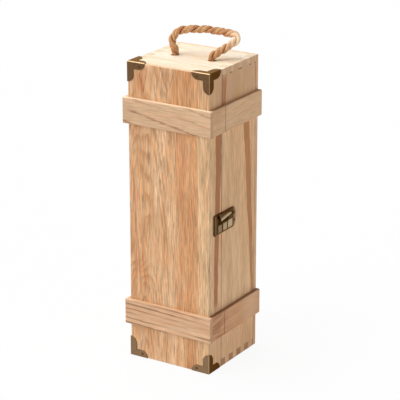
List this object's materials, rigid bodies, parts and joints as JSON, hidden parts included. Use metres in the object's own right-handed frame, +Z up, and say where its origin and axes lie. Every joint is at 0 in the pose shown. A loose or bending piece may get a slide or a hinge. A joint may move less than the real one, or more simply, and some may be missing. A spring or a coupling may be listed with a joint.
{
  "type": "wooden bottle box",
  "caption": "Upright wooden bottle box with a side-hinged front lid, battens round it, bronze corner brackets, a swing latch and a rope handle on top.",
  "frame": {"origin": "centre of the box's footprint (110 by 108 mm), on the floor that it stands on", "axes": "+Z up along the box, -Y out of the front lid, +X towards the latch side"},
  "size_m": [0.1256, 0.113, 0.399],
  "materials": {
    "pine_panel": "bare sanded pine, grain along the box",
    "pine_side": "bare sanded pine, grain along the box",
    "pine_end_board": "bare sanded pine, grain across the box",
    "pine_batten": "bare sanded pine, grain along the batten",
    "antique_bronze": "darkened bronze plating, satin",
    "bronze_nails": "darkened bronze plating, satin",
    "twisted_rope": "three-strand natural fibre rope"
  },
  "bodies": {
    "case": {"back_panel": "pine_panel", "case_left_side": "pine_side", "case_right_side": "pine_side", "top_board": "pine_end_board", "bottom_board": "pine_end_board", "batten_left_upper_case": "pine_batten", "batten_left_lower_case": "pine_batten", "batten_right_upper_case": "pine_batten", "batten_right_lower_case": "pine_batten", "hinge_upper_case_leaf": "antique_bronze", "hinge_lower_case_leaf": "antique_bronze", "hinge_upper_pin": "bronze_nails", "hinge_lower_pin": "bronze_nails", "hinge_case_screws": "bronze_nails", "latch_case_plate": "antique_bronze", "latch_case_nails": "bronze_nails", "latch_rivet": "bronze_nails", "rope_ends": "twisted_rope"},
    "lid": {"front_panel": "pine_panel", "lid_left_rail": "pine_side", "lid_right_rail": "pine_side", "lid_top_rail": "pine_end_board", "lid_bottom_rail": "pine_end_board", "batten_front_upper": "pine_batten", "batten_front_lower": "pine_batten", "batten_left_upper_lid": "pine_batten", "batten_left_lower_lid": "pine_batten", "batten_right_upper_lid": "pine_batten", "batten_right_lower_lid": "pine_batten", "bracket_top_left": "antique_bronze", "bracket_top_right": "antique_bronze", "bracket_bottom_left": "antique_bronze", "bracket_bottom_right": "antique_bronze", "bracket_nails": "bronze_nails", "hinge_upper_lid_leaf": "antique_bronze", "hinge_lower_lid_leaf": "antique_bronze", "hinge_lid_screws": "bronze_nails", "latch_lid_plate": "antique_bronze", "latch_keeper": "bronze_nails", "latch_lid_nails": "bronze_nails"},
    "latch": {"latch_bar": "antique_bronze"},
    "handle": {"rope_handle": "twisted_rope"}
  },
  "joints": [
    {"name": "lid_hinge", "type": "hinge", "parent": "case", "child": "lid", "pos_m": [-0.0627, -0.027, 0.1825], "axis": [0, 0, -1], "range_deg": [0, 180]},
    {"name": "latch_pivot", "type": "hinge", "parent": "case", "child": "latch", "pos_m": [0.0568, -0.008, 0.189], "axis": [-1, 0, 0], "range_deg": [0, 110]},
    {"name": "handle_lean", "type": "hinge", "parent": "case", "child": "handle", "pos_m": [0, 0, 0.37], "axis": [-1, 0, 0], "range_deg": [-85, 30]}
  ]
}
